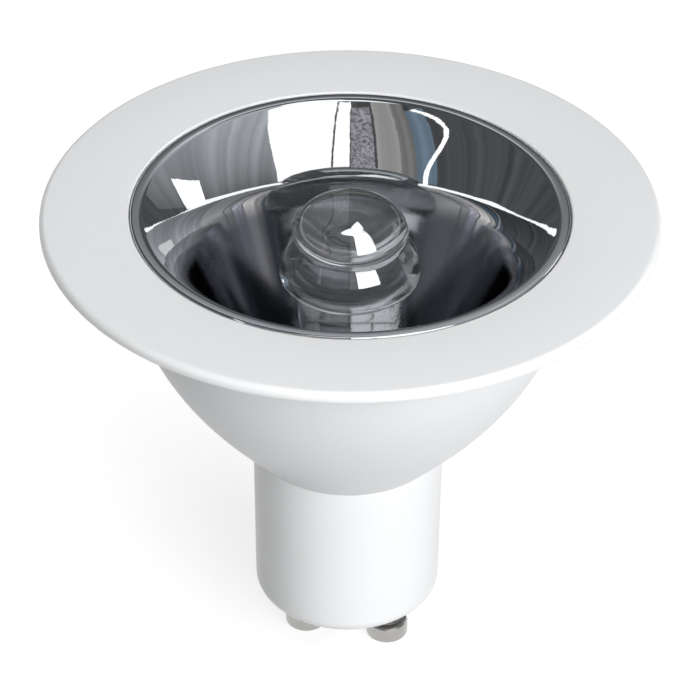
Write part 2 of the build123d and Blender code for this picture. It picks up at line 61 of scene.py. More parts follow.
class Shade:
    """A value, colour or vector in a material's nodes. Sums on it become Math, Mix or Vector Math nodes."""

    def __init__(self, tree, socket):
        self.tree = tree
        self.socket = socket

    def node(self, kind, settings=None, values=None, output=0):
        """Add any node: its settings go first, then the values or links of its sockets."""
        made = self.tree.nodes.new(kind)
        for name, setting in (settings or {}).items():
            setattr(made, name, setting)
        for name, value in (values or {}).items():
            if isinstance(value, Shade):
                self.tree.links.new(value.socket, made.inputs[name])
            else:
                made.inputs[name].default_value = value
        return Shade(self.tree, made.outputs[output])

    def maths(self, operation, first, second):
        """Join two sides: Mix for a colour, Vector Math for a vector, and Math for a value."""
        kinds = [side.socket.type for side in (first, second) if isinstance(side, Shade)]
        if "RGBA" in kinds:
            settings = {"data_type": "RGBA", "blend_type": operation}
            first, second = (
                (side, side, side, 1) if isinstance(side, (int, float)) else side for side in (first, second)
            )
            return self.node("ShaderNodeMix", settings, {0: 1.0, 6: first, 7: second}, output=2)
        if "VECTOR" in kinds:
            if operation == "MULTIPLY" and isinstance(second, (int, float)):
                return self.node("ShaderNodeVectorMath", {"operation": "SCALE"}, {0: first, "Scale": second})
            return self.node("ShaderNodeVectorMath", {"operation": operation}, {0: first, 1: second})
        return self.node("ShaderNodeMath", {"operation": operation}, {0: first, 1: second})

    def __add__(self, other):
        return self.maths("ADD", self, other)

    def __radd__(self, other):
        return self.maths("ADD", other, self)

    def __sub__(self, other):
        return self.maths("SUBTRACT", self, other)

    def __rsub__(self, other):
        return self.maths("SUBTRACT", other, self)

    def __mul__(self, other):
        return self.maths("MULTIPLY", self, other)

    def __rmul__(self, other):
        return self.maths("MULTIPLY", self, other)

    def __truediv__(self, other):
        return self.maths("DIVIDE", self, other)

    def __rtruediv__(self, other):
        return self.maths("DIVIDE", other, self)

    def sine(self):
        return self.node("ShaderNodeMath", {"operation": "SINE"}, {0: self})

    def mix(self, low, high):
        """From the colour low to the colour high as this value goes from 0 to 1."""
        return self.node("ShaderNodeMix", {"data_type": "RGBA"}, {0: self, 6: low, 7: high}, output=2)

    def between(self, low, high):
        """This value, from 0 to 1, spread over the numbers from low to high."""
        return self * (high - low) + low

    def along(self, axis):
        """This vector's length along X, Y or Z."""
        return self.node("ShaderNodeSeparateXYZ", {}, {"Vector": self}, output=axis)

    def size(self):
        return self.node("ShaderNodeMath", {"operation": "ABSOLUTE"}, {0: self})

    def above(self, limit):
        """1 where this value is above limit, and 0 below it."""
        return self.node("ShaderNodeMath", {"operation": "GREATER_THAN"}, {0: self, 1: limit})

    def over(self, limit, blur=0.04):
        """1 where this length is above limit and 0 below it, with a soft step, all in millimetres."""
        values = {"Value": self, "From Min": (limit - blur) * MM, "From Max": (limit + blur) * MM}
        return self.node("ShaderNodeMapRange", {}, values)

    def within(self, low, high, blur=0.04):
        """1 where this length is between low and high."""
        return self.over(low, blur) * (1 - self.over(high, blur))

    def noise(self, scale, detail=3.0, roughness=0.5):
        """A noise over this vector, with its scale in blotches per millimetre."""
        values = {"Vector": self, "Scale": scale / MM, "Detail": detail, "Roughness": roughness}
        return self.node("ShaderNodeTexNoise", {}, values)

    def bump(self, height, strength=1.0):
        """A normal from this value, which rises height millimetres from 0 to 1."""
        values = {"Height": self, "Distance": height * MM, "Strength": strength}
        return self.node("ShaderNodeBump", {}, values)


def new_finish(name):
    """A new material: itself, its shader and the object's own coordinates to draw patterns on."""
    material = bpy.data.materials.new(name)
    material.use_nodes = True
    tree = material.node_tree
    shader = tree.nodes["Principled BSDF"]
    place = Shade(tree, tree.nodes.new("ShaderNodeTexCoord").outputs["Object"])
    return material, shader, place


def set_shader(shader, **sockets):
    """Set the shader's sockets by name, with _ for a space, to numbers, colours or shades."""
    for name, value in sockets.items():
        socket = shader.inputs[name.replace("_", " ")]
        if isinstance(value, Shade):
            shader.id_data.links.new(value.socket, socket)
        else:
            socket.default_value = value


def moulded_finish(name, colour, roughness, grain, marks, gloss=0.5):
    """White moulded plastic: faint flow shades, a fine grain, and roughness that wanders a little."""
    flow_share = 0.7
    darkest = 0.955
    material, shader, place = new_finish(name)
    flow = place.noise(0.05, detail=4.0)
    speck = place.noise(1.4, detail=2.0)
    darker = tuple(darkest * part for part in colour[:3]) + (1,)
    handled = place.noise(0.18, detail=5.0, roughness=0.6)
    fine = place.noise(2.2, detail=2.0)
    set_shader(
        shader,
        Base_Color=(flow * flow_share + speck * (1 - flow_share)).mix(darker, colour),
        Roughness=handled.between(roughness - marks, roughness + marks),
        Normal=fine.bump(grain),
        IOR=1.5,
        Specular_IOR_Level=gloss,
    )
    return material


def rounded_outline(corners, steps=FINE_STEPS):
    """An outline through corners of radius, height and rounding, with an arc at each rounded corner."""
    points = []
    for index, (x, z, rounding) in enumerate(corners):
        if rounding == 0:
            points.append((x, z))
            continue
        here = Vector((x, z))
        before = (Vector(corners[index - 1][:2]) - here).normalized()
        after = (Vector(corners[(index + 1) % len(corners)][:2]) - here).normalized()
        half = before.angle(after) / 2
        centre = here + (before + after).normalized() * rounding / sin(half)
        reach = rounding / (sin(half) / cos(half))
        start = here + before * reach - centre
        sweep = (here + after * reach - centre).angle_signed(start)
        for step in range(steps + 1):
            angle = sweep * step / steps
            points.append((
                centre.x + start.x * cos(angle) - start.y * sin(angle),
                centre.y + start.x * sin(angle) + start.y * cos(angle),
            ))
    return points


def new_tree(name, sockets):
    """An empty node tree with named inputs, which gives out one piece."""
    tree = bpy.data.node_groups.new(name, "GeometryNodeTree")
    for socket, kind in sockets:
        tree.interface.new_socket(socket, in_out="INPUT", socket_type=f"NodeSocket{kind}")
    tree.interface.new_socket("Piece", in_out="OUTPUT", socket_type="NodeSocketGeometry")
    return tree


def join_sockets(tree, pairs):
    """Link each pair of an output and an input."""
    for source, target in pairs:
        tree.links.new(source, target)


def turning_tree(path_r=0.05, weld_distance=1e-7):
    """Nodes that turn an outline, drawn as edges in the X-Z plane, once round an upright axis."""
    tree = new_tree("turn_outline", (
        ("Outline", "Geometry"),
        ("Steps", "Int"),
        ("Sharp Angle", "Float"),
        ("Place", "Vector"),
        ("Finish", "Material"),
    ))
    new = tree.nodes.new
    inputs, outputs = new("NodeGroupInput").outputs, new("NodeGroupOutput").inputs
    place, parts = new("GeometryNodeInputPosition"), new("ShaderNodeSeparateXYZ")
    across, down, flat = new("ShaderNodeMath"), new("ShaderNodeMath"), new("ShaderNodeCombineXYZ")
    across.operation, down.operation = "SUBTRACT", "MULTIPLY"
    across.inputs[1].default_value = path_r
    down.inputs[1].default_value = -1
    lay, draw = new("GeometryNodeSetPosition"), new("GeometryNodeMeshToCurve")
    path, turn = new("GeometryNodeCurvePrimitiveCircle"), new("GeometryNodeCurveToMesh")
    path.inputs["Radius"].default_value = path_r
    weld, flip = new("GeometryNodeMergeByDistance"), new("GeometryNodeFlipFaces")
    weld.inputs["Distance"].default_value = weld_distance
    edge_angle, sharp = new("GeometryNodeInputMeshEdgeAngle"), new("ShaderNodeMath")
    sharp.operation = "GREATER_THAN"
    smooth, crisp = new("GeometryNodeSetShadeSmooth"), new("GeometryNodeSetShadeSmooth")
    crisp.domain = "EDGE"
    crisp.inputs["Shade Smooth"].default_value = False
    move, realize = new("GeometryNodeTransform"), new("GeometryNodeRealizeInstances")
    finish = new("GeometryNodeSetMaterial")
    join_sockets(tree, (
        (place.outputs[0], parts.inputs[0]),
        (parts.outputs["X"], across.inputs[0]),
        (parts.outputs["Z"], down.inputs[0]),
        (across.outputs[0], flat.inputs["X"]),
        (down.outputs[0], flat.inputs["Y"]),
        (inputs["Outline"], lay.inputs["Geometry"]),
        (flat.outputs[0], lay.inputs["Position"]),
        (lay.outputs[0], draw.inputs[0]),
        (inputs["Steps"], path.inputs["Resolution"]),
        (path.outputs[0], turn.inputs["Curve"]),
        (draw.outputs[0], turn.inputs["Profile Curve"]),
        (turn.outputs[0], weld.inputs["Geometry"]),
        (weld.outputs[0], flip.inputs["Mesh"]),
        (flip.outputs[0], smooth.inputs["Geometry"]),
        (smooth.outputs[0], crisp.inputs["Geometry"]),
        (edge_angle.outputs["Unsigned Angle"], sharp.inputs[0]),
        (inputs["Sharp Angle"], sharp.inputs[1]),
        (sharp.outputs[0], crisp.inputs["Selection"]),
        (crisp.outputs[0], move.inputs["Geometry"]),
        (inputs["Place"], move.inputs["Translation"]),
        (move.outputs[0], realize.inputs[0]),
        (realize.outputs[0], finish.inputs["Geometry"]),
        (inputs["Finish"], finish.inputs["Material"]),
        (finish.outputs[0], outputs["Piece"]),
    ))
    return tree


def add_tree(piece, tree, **values):
    """Put a node tree on a piece and set its named inputs, each by its socket's identifier."""
    modifier = piece.modifiers.new(tree.name, "NODES")
    modifier.node_group = tree
    for item in tree.interface.items_tree:
        if item.in_out == "INPUT" and item.name.replace(" ", "_") in values:
            modifier[item.identifier] = values[item.name.replace(" ", "_")]


def settle(piece):
    """Turn a piece's modifiers into its plain mesh."""
    ready = piece.evaluated_get(bpy.context.evaluated_depsgraph_get())
    mesh = bpy.data.meshes.new_from_object(ready)
    piece.modifiers.clear()
    piece.data = mesh


def draw_outline(name, points, closed):
    """A new object that holds an outline's points, given in millimetres, as a row of edges."""
    mesh = bpy.data.meshes.new(name)
    count = len(points)
    edges = [(index, (index + 1) % count) for index in range(count if closed else count - 1)]
    mesh.from_pydata([(x * MM, 0, z * MM) for x, z in points], edges, [])
    piece = bpy.data.objects.new(name, mesh)
    bpy.context.scene.collection.objects.link(piece)
    return piece


turn_outline = turning_tree()


def turned(name, points, finish, closed=False, place=(0, 0, 0), sharp_angle=32, steps=TURN_STEPS):
    """A piece turned from an outline, not yet settled."""
    piece = draw_outline(name, points, closed)
    spot = tuple(part * MM for part in place)
    add_tree(piece, turn_outline, Steps=steps, Sharp_Angle=radians(sharp_angle), Place=spot, Finish=finish)
    return piece


def stands_for(piece, node):
    """The finished piece rides with the lamp and is shown in place of its CAD node."""
    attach(piece, "root")
    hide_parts(node)


cap_finish = moulded_finish("cap_plastic", cap_white, roughness=0.30, grain=0.004, marks=0.05)
cap_outline = rounded_outline([
    (0, 0, 0),
    (cap_bottom_r, 0, cap_edge_round),
    (cap_top_r, cap_height, cap_brim_round),
    (cap_bore_r, cap_height, 0),
    (cap_bore_r, cap_floor, 0),
    (0, cap_floor, 0),
])
cap = turned("cap", cap_outline, cap_finish)
settle(cap)
stands_for(cap, "cap_shell")

# Contact pins: turned brass with nickel plating, with a broad head and a waist that the lampholder's springs
# lock over. Their shanks go through the cap's floor and are staked over inside it.
pin_low, pin_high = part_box("contact_pin_left")
pin_bottom = pin_low.z / MM
pin_head_height = 2.3
pin_head_top = pin_bottom + pin_head_height
pin_top = pin_high.z / MM
pin_head_r = (pin_high.x - pin_low.x) / 2 / MM
pin_neck_r = 1.55
pin_shank_r = 1.3
pin_stake_r = 2.0
pin_head_round = 0.5
pin_neck_round = 0.1
pin_steps = 96
nickel = (0.52, 0.51, 0.49, 1)
nickel_dull = (0.36, 0.35, 0.34, 1)


def turned_metal(name, bright, dull, roughness, lathe_pitch, scratch_share=0.7):
    """Plated turned metal: fine lathe rings by height, a few dull patches and small scratches."""
    material, shader, place = new_finish(name)
    height = place.along("Z")
    jitter = place.noise(0.9, detail=4.0)
    rings = (height * (tau / (lathe_pitch * MM)) + jitter * 4.0).sine()
    patch = place.noise(0.45, detail=5.0, roughness=0.65)
    scratch = place.node(
        "ShaderNodeTexNoise", {}, {"Vector": place, "Scale": 3.0 / MM, "Detail": 6.0, "Distortion": 1.5}
    )
    set_shader(
        shader,
        Metallic=1.0,
        Base_Color=patch.mix(dull, bright),
        Roughness=patch.between(roughness + 0.10, roughness - 0.06),
        Normal=(rings * (1 - scratch_share) + scratch * scratch_share).bump(0.006),
    )
    return material


pin_finish = turned_metal("plated_pin", nickel, nickel_dull, roughness=0.24, lathe_pitch=0.12)
pin_outline = rounded_outline([
    (0, pin_bottom, 0),
    (pin_head_r, pin_bottom, pin_head_round),
    (pin_head_r, pin_head_top, pin_head_round),
    (pin_neck_r, pin_head_top, pin_neck_round),
    (pin_neck_r, 0, 0),
    (pin_shank_r, 0, 0),
    (pin_shank_r, cap_floor, 0),
    (pin_stake_r, cap_floor, 0),
    (pin_stake_r, pin_top, 0),
    (0, pin_top, 0),
])
for side in ("left", "right"):
    node = f"contact_pin_{side}"
    low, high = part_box(node)
    middle = (low.x + high.x) / 2 / MM
    pin = turned(f"pin_{side}", pin_outline, pin_finish, place=(middle, 0, 0), steps=pin_steps)
    settle(pin)
    stands_for(pin, node)

# Bowl: a white moulding that flares from the cap up to the ring, with a flat floor for the light source.
# A short spigot under its floor snaps into the cap with four lugs.
bowl_low, bowl_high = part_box("housing")
bowl_top_r = bowl_high.x / MM
bowl_top = bowl_high.z / MM
bowl_wall = 1.3
bowl_start_angle = radians(47.4)
bowl_start_handle = 10.5
bowl_end_handle = 14.5
bowl_floor = 1.2
spigot_bottom = bowl_low.z / MM
spigot_r = 9.5
spigot_wall = 1.2
lug_count = 4
lug_angle = radians(36)
lug_rise = 0.3
lug_height = 1.4
bowl_white = (0.73, 0.74, 0.755, 1)


def bezier(start, first, second, end, steps=48):
    """Points along a cubic curve with two handles."""
    points = []
    for step in range(steps + 1):
        t = step / steps
        weights = ((1 - t) ** 3, 3 * t * (1 - t) ** 2, 3 * t * t * (1 - t), t**3)
        corners = (start, first, second, end)
        points.append(tuple(sum(w * c[axis] for w, c in zip(weights, corners)) for axis in (0, 1)))
    return points


def bowl_side(inset):
    """The bowl's side line from its foot up to the ring, moved inwards by inset."""
    shrink = 1 - inset / (bowl_top - cap_height)
    foot = (cap_top_r - inset * sin(bowl_start_angle), cap_height + inset * cos(bowl_start_angle))
    reach = bowl_start_handle * shrink
    out = (foot[0] + reach * cos(bowl_start_angle), foot[1] + reach * sin(bowl_start_angle))
    rim = (bowl_top_r - inset, bowl_top)
    return bezier(foot, out, (rim[0], bowl_top - bowl_end_handle * shrink), rim)


def blocks_tree(arc_points=12):
    """Nodes that add equal curved blocks round the axis to a piece, such as lugs and snap hooks."""
    lengths = ("Angle", "Inner Radius", "Outer Radius", "Bottom", "Height")
    tree = new_tree("blocks_round_axis", (
        ("Piece", "Geometry"),
        ("Count", "Int"),
        *((name, "Float") for name in lengths),
        ("Finish", "Material"),
    ))
    new = tree.nodes.new
    inputs, outputs = new("NodeGroupInput").outputs, new("NodeGroupOutput").inputs

    def sum_of(operation, first, second):
        made = new("ShaderNodeMath")
        made.operation = operation
        for socket, value in zip(made.inputs, (first, second)):
            if isinstance(value, (int, float)):
                socket.default_value = value
            else:
                tree.links.new(value, socket)
        return made.outputs[0]

    inner, outer = inputs["Inner Radius"], inputs["Outer Radius"]
    angle, height, count = inputs["Angle"], inputs["Height"], inputs["Count"]
    middle_r = sum_of("MULTIPLY", sum_of("ADD", inner, outer), 0.5)
    middle_z = sum_of("ADD", inputs["Bottom"], sum_of("MULTIPLY", height, 0.5))
    arc, section = new("GeometryNodeCurveArc"), new("GeometryNodeCurvePrimitiveQuadrilateral")
    arc.inputs["Resolution"].default_value = arc_points
    block, points = new("GeometryNodeCurveToMesh"), new("GeometryNodeMeshLine")
    block.inputs["Fill Caps"].default_value = True
    points.inputs["Offset"].default_value = (0, 0, 0)
    lift, copies = new("ShaderNodeCombineXYZ"), new("GeometryNodeInstanceOnPoints")
    index, turn = new("GeometryNodeInputIndex"), new("ShaderNodeCombineXYZ")
    realize, finish = new("GeometryNodeRealizeInstances"), new("GeometryNodeSetMaterial")
    join = new("GeometryNodeJoinGeometry")
    join_sockets(tree, (
        (middle_r, arc.inputs["Radius"]),
        (angle, arc.inputs["Sweep Angle"]),
        (sum_of("MULTIPLY", angle, -0.5), arc.inputs["Start Angle"]),
        (sum_of("SUBTRACT", outer, inner), section.inputs["Width"]),
        (height, section.inputs["Height"]),
        (arc.outputs[0], block.inputs["Curve"]),
        (section.outputs[0], block.inputs["Profile Curve"]),
        (count, points.inputs["Count"]),
        (middle_z, lift.inputs["Z"]),
        (lift.outputs[0], points.inputs["Start Location"]),
        (sum_of("MULTIPLY", index.outputs[0], sum_of("DIVIDE", tau, count)), turn.inputs["Z"]),
        (points.outputs[0], copies.inputs["Points"]),
        (block.outputs[0], copies.inputs["Instance"]),
        (turn.outputs[0], copies.inputs["Rotation"]),
        (copies.outputs[0], realize.inputs[0]),
        (realize.outputs[0], finish.inputs["Geometry"]),
        (inputs["Finish"], finish.inputs["Material"]),
        (inputs["Piece"], join.inputs[0]),
        (finish.outputs[0], join.inputs[0]),
        (join.outputs[0], outputs["Piece"]),
    ))
    return tree


blocks_round_axis = blocks_tree()
bowl_finish = moulded_finish("bowl_plastic", bowl_white, roughness=0.36, grain=0.004, marks=0.05, gloss=0.25)
bowl_floor_top = cap_height + bowl_floor
spigot_bore_r = spigot_r - spigot_wall
bowl_inside = [point for point in bowl_side(bowl_wall) if point[1] > bowl_floor_top]
bowl_outline = [(0, cap_height), (spigot_bore_r, cap_height), (spigot_bore_r, spigot_bottom)]
bowl_outline += [(spigot_r, spigot_bottom), (spigot_r, cap_height)]
bowl_outline += bowl_side(0) + bowl_inside[::-1]
bowl_outline += [(bowl_inside[0][0] - bowl_wall / 2, bowl_floor_top), (0, bowl_floor_top)]
bowl = turned("bowl", bowl_outline, bowl_finish)
add_tree(
    bowl,
    blocks_round_axis,
    Count=lug_count,
    Angle=lug_angle,
    Inner_Radius=(spigot_r - spigot_wall / 2) * MM,
    Outer_Radius=(spigot_r + lug_rise) * MM,
    Bottom=(cap_height - (cap_height - spigot_bottom + lug_height) / 2) * MM,
    Height=lug_height * MM,
    Finish=bowl_finish,
)
settle(bowl)
stands_for(bowl, "housing")

# Reflector: a thin plastic bowl with aluminium evaporated onto its inside, as bright as a mirror.
# Its mouth flares out to a rounded lip that the ring holds, and its floor clamps the lens.
front_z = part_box("front_ring")[1].z / MM
lip_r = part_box("reflector")[1].x / MM
reflector_wall = 0.7
mirror_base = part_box("reflector")[0].z / MM + reflector_wall
mouth_r = 23.6
mouth_lean = 51.7
mouth_handle = 5.5
throat_r = 17.4
throat_depth = 7.6
throat_lean = 20.8
throat_handle = 1.8
mirror_base_r = 10.8
mirror_base_lean = 17.5
mirror_handle = 6.0
lip_thickness = 1.05
lip_round = 0.35
lip_inner_round = 1.0
lens_hole_r = 8.4
mirror_steps = 384
mouth_fade = 1.0
deep_haze = 0.08
chrome = (0.84, 0.85, 0.86, 1)
chrome_dull = (0.76, 0.77, 0.79, 1)
# The deep colour is painted shade for the bowl's dark lower part, not a colour of the coat.
chrome_painted_shade = (0.44, 0.45, 0.48, 1)


def lean_in(start, lean, reach):
    """The point reached from start by going down a line that leans in towards the axis."""
    return (start[0] - reach * sin(radians(lean)), start[1] - reach * cos(radians(lean)))


def mirror_side(top, bottom, outwards):
    """The mirror's side line from its mouth at top down to its base at bottom, moved outwards."""
    mouth = (mouth_r, top)
    throat = (throat_r + outwards, front_z - throat_depth)
    shift = (mirror_base - bottom) * sin(radians(mirror_base_lean)) / cos(radians(mirror_base_lean))
    base = (mirror_base_r - shift + outwards, bottom)
    mouth_end = lean_in(mouth, mouth_lean, mouth_handle)
    throat_end = lean_in(throat, throat_lean, -throat_handle)
    side_start = lean_in(throat, throat_lean, mirror_handle)
    side_end = lean_in(base, mirror_base_lean, -mirror_handle)
    return bezier(mouth, mouth_end, throat_end, throat) + bezier(throat, side_start, side_end, base)[1:]


def mirror_coat(name, bright, dull, deep):
    """Evaporated metal on moulded plastic: bright at the mouth, hazier down in the bowl, and darkened there
    by painted shade.
    """
    material, shader, place = new_finish(name)
    peel_share = 0.9
    haze = place.noise(0.09, detail=5.0, roughness=0.6)
    peel = place.noise(0.55, detail=3.0)
    dust = place.noise(5.0, detail=2.0)
    mouth = place.along("Z").over(front_z - throat_depth - mouth_fade, mouth_fade)
    set_shader(
        shader,
        Metallic=1.0,
        # Down in the bowl the colour turns to the darker deep colour, which is painted shade.
        Base_Color=mouth.mix(deep, haze.mix(dull, bright)),
        Roughness=haze.between(0.035, 0.015) + (1 - mouth) * deep_haze,
        Normal=(peel * peel_share + dust * (1 - peel_share)).bump(0.004),
    )
    return material


mirror_finish = mirror_coat("mirror_metal_coat", chrome, chrome_dull, chrome_painted_shade)
mirror_line = mirror_side(front_z, mirror_base, 0)
back_line = mirror_side(front_z - lip_thickness, mirror_base - reflector_wall, reflector_wall)
lip_meets = 4
lip_line = rounded_outline([
    (*back_line[0], 0),
    (lip_r, front_z - lip_thickness, 0),
    (lip_r, front_z, lip_round),
    (mouth_r, front_z, lip_inner_round),
    (*mirror_line[lip_meets], 0),
])[1:-1]
reflector_outline = [(lens_hole_r, mirror_base - reflector_wall)] + back_line[::-1] + lip_line
reflector_outline += mirror_line[lip_meets + 1:] + [(lens_hole_r, mirror_base)]
reflector = turned("reflector_bowl", reflector_outline, mirror_finish, closed=True, steps=mirror_steps)
settle(reflector)
stands_for(reflector, "reflector")

# Lens: one clear acrylic moulding, a bubble on a bell collar whose stem stands over the light source.
# Its foot is clamped on the circuit board, with a small hollow over the source's dome.
lens_low, lens_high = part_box("lens")
lens_foot_r = lens_high.x / MM
lens_bottom = lens_low.z / MM
bubble_top = lens_high.z / MM
bubble_r = 6.6
bubble_rise = 4.4
crease = (6.3, front_z - 4.25)
collar = (8.05, front_z - 8.2)
collar_base = (7.2, front_z - 9.2)
stem_top = (6.3, front_z - 10.2)
stem_foot_r = 5.2
foot_top = lens_bottom + 1.2
well_r = 3.9
well_rise = 2.6
lens_steps = 256
acrylic = (0.985, 0.995, 0.99, 1)


def dome_line(centre_z, dome_r, rise, steps=40):
    """A quarter of an ellipse from its widest point up to the axis."""
    return [
        (dome_r * cos(pi / 2 * step / steps), centre_z + rise * sin(pi / 2 * step / steps))
        for step in range(steps + 1)
    ]


def tangent_arc(start, end, direction, steps=16):
    """Points of the arc that leaves start along direction and ends at end."""
    chord = Vector(end) - Vector(start)
    way = Vector(direction)
    normal = Vector((-way.y, way.x))
    radius = chord.length_squared / (2 * chord.dot(normal))
    centre = Vector(start) + normal * radius
    first = Vector(start) - centre
    sweep = (Vector(end) - centre).angle_signed(first)
    points = []
    for step in range(steps + 1):
        angle = sweep * step / steps
        points.append((
            centre.x + first.x * cos(angle) - first.y * sin(angle),
            centre.y + first.x * sin(angle) + first.y * cos(angle),
        ))
    return points


def clear_moulding(name, colour, darkest=0.99, clearness=0.975):
    """Clear acrylic: smooth and colourless, with a slow ripple left by the mould and a little haze."""
    material, shader, place = new_finish(name)
    ripple = place.noise(0.12, detail=0.0)
    touched = place.noise(0.3, detail=5.0, roughness=0.6)
    set_shader(
        shader,
        Base_Color=touched.mix(tuple(darkest * part for part in colour[:3]) + (1,), colour),
        Roughness=touched.between(0.0, 0.003),
        Normal=ripple.bump(0.006),
        IOR=1.49,
        Transmission_Weight=clearness,
    )
    return material


lens_finish = clear_moulding("clear_acrylic", acrylic)
bubble = dome_line(bubble_top - bubble_rise, bubble_r, bubble_rise)
lens_outline = dome_line(lens_bottom, well_r, well_rise)[::-1]
lens_outline += [(lens_foot_r, lens_bottom), (lens_foot_r, foot_top), (stem_foot_r, foot_top), stem_top]
lens_outline += tangent_arc(collar, collar_base, (0, -1))[::-1]
lens_outline += tangent_arc(collar, crease, (0, 1))[1:]
lens_outline += tangent_arc(bubble[0], crease, (0, -1))[::-1][1:]
lens_outline += bubble[1:]
lens = turned("lens_moulding", lens_outline, lens_finish, sharp_angle=40, steps=lens_steps)
settle(lens)
stands_for(lens, "lens")

# Ring: a flat white moulding that closes the front. Its ledge holds the reflector's lip down,
# and six hooks under it snap into the bowl.
ring_low, ring_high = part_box("front_ring")
ring_r = ring_high.x / MM
ring_thickness = 1.6
ring_underside = front_z - ring_thickness
ring_ledge_r = 23.7
ring_opening_r = 24.95
ring_edge_round = 0.7
ring_opening_round = 0.25
hook_count = 6
hook_angle = radians(24)
hook_outer_r = 24.5
hook_barb = 0.3
hook_barb_height = 0.8
ring_white = (0.80, 0.81, 0.82, 1)

ring_finish = moulded_finish("ring_plastic", ring_white, roughness=0.36, grain=0.004, marks=0.05)
ring_outline = rounded_outline([
    (ring_ledge_r, ring_underside, 0),
    (ring_r, ring_underside, ring_edge_round),
    (ring_r, front_z, ring_edge_round),
    (ring_opening_r, front_z, ring_opening_round),
    (ring_opening_r, front_z - lip_thickness, 0),
    (ring_ledge_r, front_z - lip_thickness, 0),
])
ring = turned("ring", ring_outline, ring_finish, closed=True)
hook_bottom = ring_low.z / MM
hook_height = ring_underside - hook_bottom
for outer_r, height in ((hook_outer_r, hook_height), (hook_outer_r + hook_barb, hook_barb_height)):
    add_tree(
        ring,
        blocks_round_axis,
        Count=hook_count,
        Angle=hook_angle,
        Inner_Radius=ring_ledge_r * MM,
        Outer_Radius=outer_r * MM,
        Bottom=hook_bottom * MM,
        Height=height * MM,
        Finish=ring_finish,
    )
settle(ring)
stands_for(ring, "front_ring")

# Heat cup: pressed from soft aluminium sheet, and left bare. It lines the bowl and takes the source's heat.
# The press leaves faint rings round it, and handling leaves dull patches.
aluminium = (0.74, 0.75, 0.76, 1)
aluminium_dull = (0.58, 0.59, 0.60, 1)
press_pitch = 0.8
tinned = (0.66, 0.66, 0.64, 1)
black_plastic = (0.030, 0.030, 0.032, 1)
black_worn = (0.055, 0.055, 0.058, 1)


def dress(node, name, low, high, blotch, roughness, grain, metal=0.0, marks=()):
    """Give a CAD node its finish: a blotched ground with marks drawn on it. Each mark is a mask, a colour,
    a roughness and a metalness."""
    fine_factor = 7
    spot_share = 0.75
    dullest, glossiest = 1.3, 0.75
    material, shader, place = new_finish(name)
    spots = place.noise(blotch, detail=5.0, roughness=0.6)
    fine = place.noise(blotch * fine_factor, detail=3.0)
    colour = (spots * spot_share + fine * (1 - spot_share)).mix(low, high)
    rough = spots.between(roughness * dullest, roughness * glossiest)
    metallic = metal
    for mask_of, mark_colour, mark_roughness, mark_metal in marks:
        mask = mask_of(place)
        colour = mask.mix(colour, mark_colour)
        rough = rough + mask * (mark_roughness - rough)
        metallic = metallic + mask * (mark_metal - metallic)
    set_shader(shader, Base_Color=colour, Roughness=rough, Metallic=metallic, Normal=fine.bump(grain))
    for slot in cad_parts[node].material_slots:
        slot.material = material


def press_rings(place):
    """Faint rings round the axis, one below the other."""
    waves = (place.along("Z") * (tau / (press_pitch * MM)) + place.noise(0.3) * 5.0).sine()
    return waves * 0.25 + 0.25


dress("heat_cup", "pressed_aluminium", aluminium_dull, aluminium, blotch=0.2, roughness=0.34, grain=0.01,
      metal=1.0, marks=[(press_rings, aluminium, 0.28, 1.0)])

# Thermal pad: soft grey silicone rubber filled with ceramic powder, cut from sheet.
# Its faces are tacky and matt, and it fills the gap between the cup and the board.
pad_dark = (0.32, 0.33, 0.35, 1)
pad_light = (0.44, 0.45, 0.47, 1)
dress("thermal_pad", "silicone_pad", pad_dark, pad_light, blotch=0.9, roughness=0.75, grain=0.02)

# Led board: aluminium sheet under a white solder mask, with a tinned pad under each lead
# and the masked tracks from the pads to the light source standing out a little.
pad_y = 1.5
pad_from, pad_to, pad_half = 4.3, 5.7, 0.7
track_from, track_half = 2.0, 0.35
mask_white_dull = (0.78, 0.78, 0.75, 1)
mask_white = (0.86, 0.86, 0.84, 1)
track_white = (0.70, 0.70, 0.66, 1)


def tracks(place):
    """The two tracks from the pads to the source, under the mask."""
    across = (place.along("Y") - pad_y * MM).size()
    return across.within(-1, track_half) * place.along("X").size().within(track_from, pad_from)


def pads(place):
    """The two tinned pads."""
    across = (place.along("Y") - pad_y * MM).size()
    return across.within(-1, pad_half) * place.along("X").size().within(pad_from, pad_to)


dress("led_board", "white_solder_mask", mask_white_dull, mask_white, blotch=0.5, roughness=0.38, grain=0.006,
      marks=[(tracks, track_white, 0.34, 0.0), (pads, tinned, 0.3, 1.0)])

# Light source: a square ceramic body, pressed and fired white, with a gold-plated edge at its foot,
# under a low dome of clear silicone that is yellow with phosphor.
source_low, source_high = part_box("led_package")
source_edge = 0.12
gold = (0.80, 0.60, 0.25, 1)
fired_dull = (0.78, 0.77, 0.74, 1)
fired_white = (0.86, 0.86, 0.84, 1)
phosphor_deep = (0.80, 0.62, 0.08, 1)
phosphor_bright = (0.90, 0.76, 0.16, 1)
phosphor_thin = (0.88, 0.84, 0.50, 1)


def source_foot(place):
    """The plated edge under the ceramic body."""
    return 1 - place.along("Z").over(source_low.z / MM + source_edge)


def source_ring(place):
    """The dome's paler edge, where the phosphor is thin."""
    return 1 - place.along("Z").over(source_high.z / MM + source_edge, 0.1)


dress("led_package", "fired_ceramic", fired_dull, fired_white, blotch=2.0, roughness=0.5, grain=0.004,
      marks=[(source_foot, gold, 0.3, 1.0)])
dress("led_dome", "phosphor_silicone", phosphor_deep, phosphor_bright,
      blotch=1.5, roughness=0.22, grain=0.003, marks=[(source_ring, phosphor_thin, 0.2, 0.0)])

# Board screws: cold-formed steel with a thin zinc plating, bright on the head and dull in the thread.
# They clamp the board, the pad and the cup to the bowl's floor.
screw_head_height = 1.0
screw_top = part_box("board_screws")[1].z / MM
zinc_dull = (0.48, 0.49, 0.50, 1)
zinc_bright = (0.64, 0.65, 0.66, 1)
zinc_shank = (0.42, 0.42, 0.42, 1)


